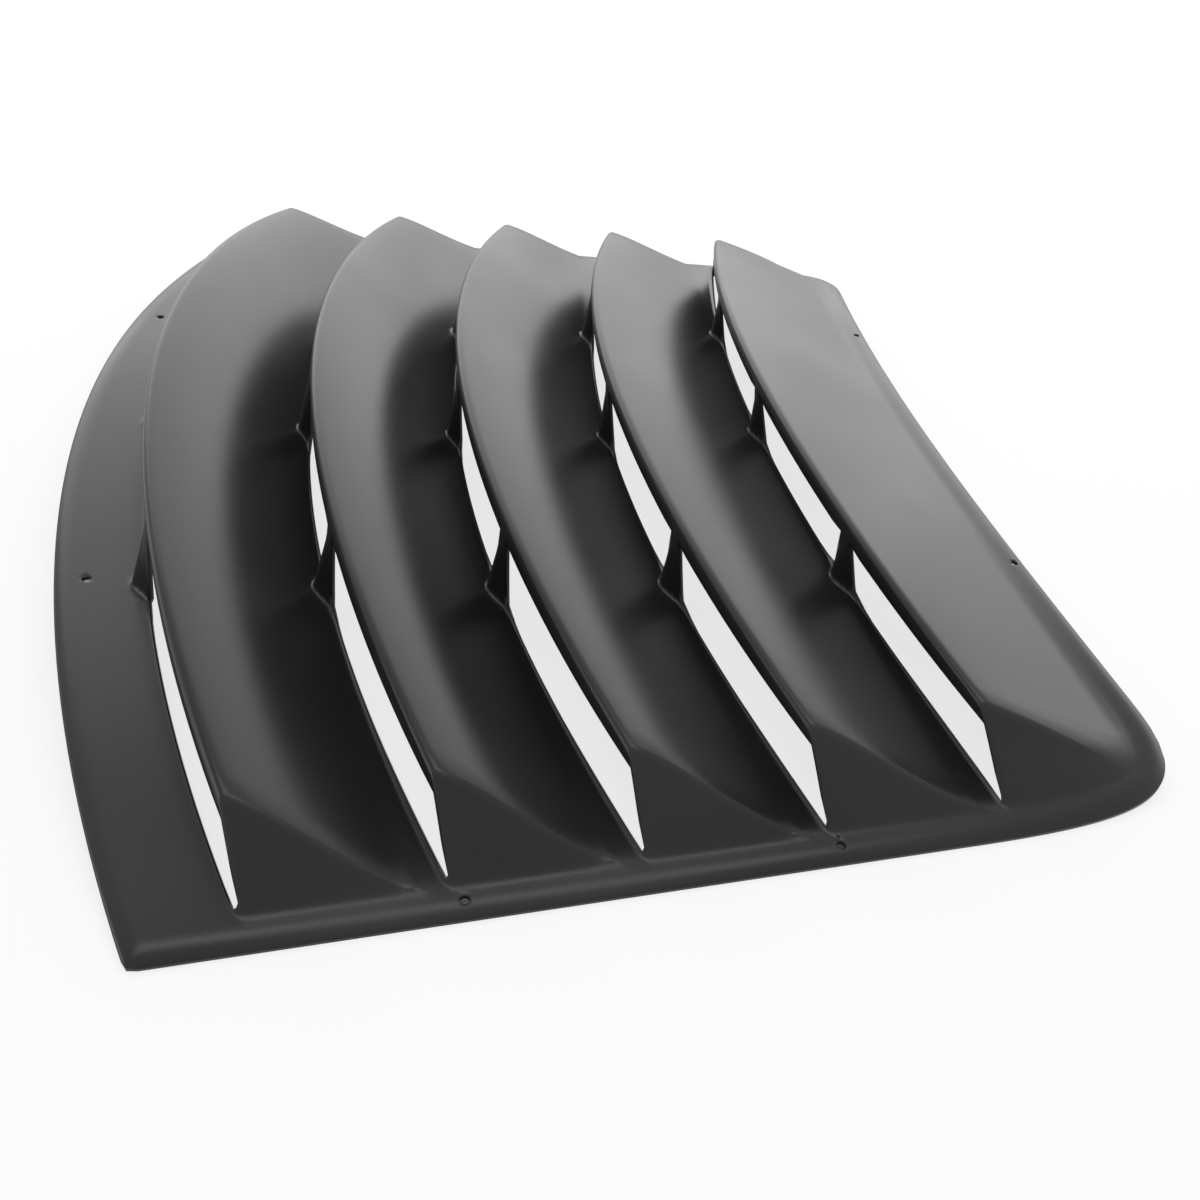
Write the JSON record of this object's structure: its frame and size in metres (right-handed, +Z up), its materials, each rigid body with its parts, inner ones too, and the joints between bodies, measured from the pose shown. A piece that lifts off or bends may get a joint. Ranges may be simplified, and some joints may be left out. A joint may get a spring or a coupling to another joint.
{
  "type": "rear window louver",
  "caption": "One-piece vented louver panel with bowed raised slats, open slots behind gussets and a narrow screw flange all round.",
  "frame": {"origin": "bottom centre of the bounding box, on the surface that the side edges lie on", "axes": "+X towards the roof edge, +Y across the car, +Z up"},
  "size_m": [0.9132, 1.179, 0.1295],
  "materials": {
    "black_abs": "satin black, faintly textured"
  },
  "bodies": {
    "root": {"louver_panel": "black_abs"}
  },
  "joints": []
}
